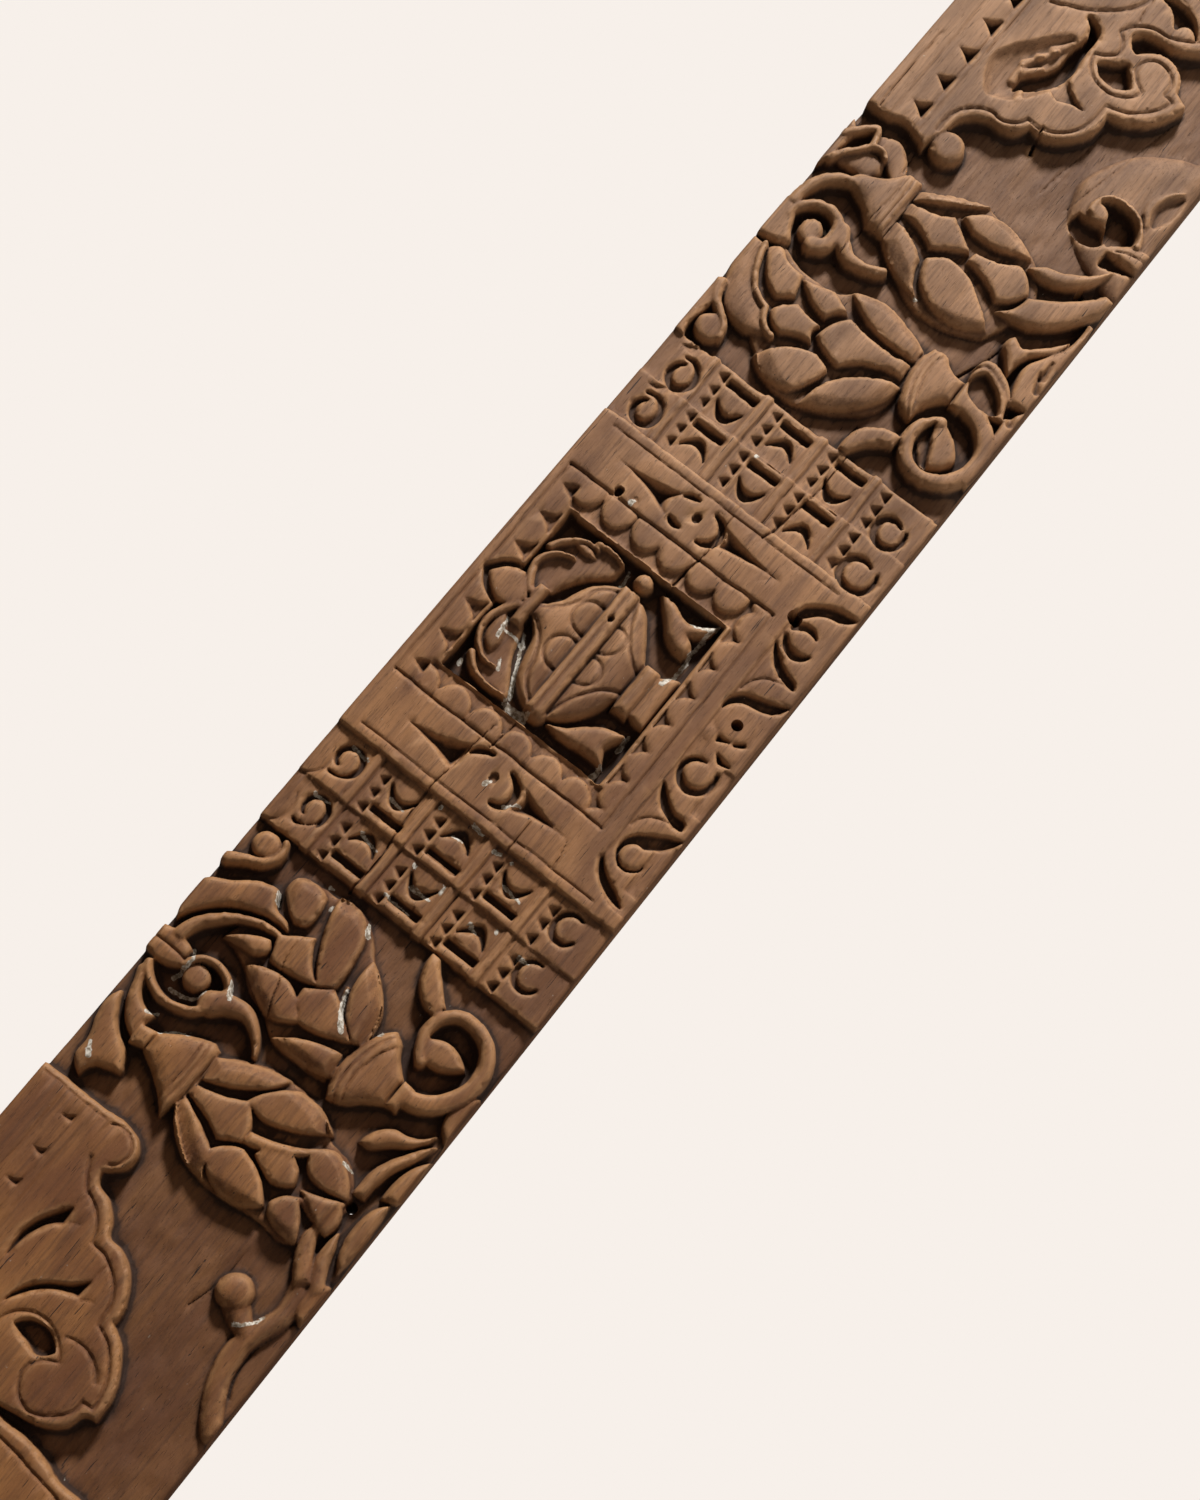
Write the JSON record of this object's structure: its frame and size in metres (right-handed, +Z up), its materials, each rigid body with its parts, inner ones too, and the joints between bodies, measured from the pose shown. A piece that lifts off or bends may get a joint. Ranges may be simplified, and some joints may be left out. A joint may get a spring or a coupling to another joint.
{
  "type": "carved wall panel",
  "caption": "Long carved wooden wall panel with a vase of leaves in a square, lattice columns, lotus buds and scrolling ends; flat back for fixing to a wall.",
  "frame": {"origin": "centre of the flat back face, where the panel meets the wall", "axes": "+X along the panel, +Z up, +Y out of the back into the wall, so the carved face looks along -Y"},
  "size_m": [1.1, 0.0453, 0.1804],
  "materials": {
    "wood": "old worn hardwood, dark dirt in the hollows"
  },
  "bodies": {
    "root": {"carved_panel": "wood"}
  },
  "joints": []
}
